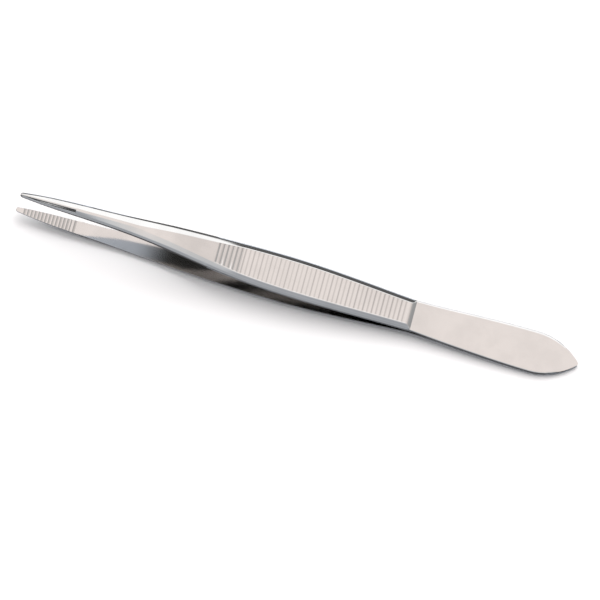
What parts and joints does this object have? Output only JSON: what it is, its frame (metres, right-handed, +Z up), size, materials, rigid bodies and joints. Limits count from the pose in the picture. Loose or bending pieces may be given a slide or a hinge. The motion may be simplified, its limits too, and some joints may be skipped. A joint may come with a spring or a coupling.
{
  "type": "splinter tweezers",
  "caption": "Splinter tweezers: two slim steel arms welded at a pointed rear leaf, with ribbed grips, bevelled sides, and fine serrated tips that stand open.",
  "frame": {"origin": "on the surface that the tweezers lie on, under the middle of their bounding box", "axes": "+X from the tips towards the rear leaf, +Y across the arms, +Z up, away from the surface"},
  "size_m": [0.1152, 0.0086, 0.0121],
  "materials": {
    "polished_steel": "fine satin polish, darker and smoother on the upright edges"
  },
  "bodies": {
    "root": {"upper_arm": "polished_steel", "lower_arm": "polished_steel"}
  },
  "joints": []
}
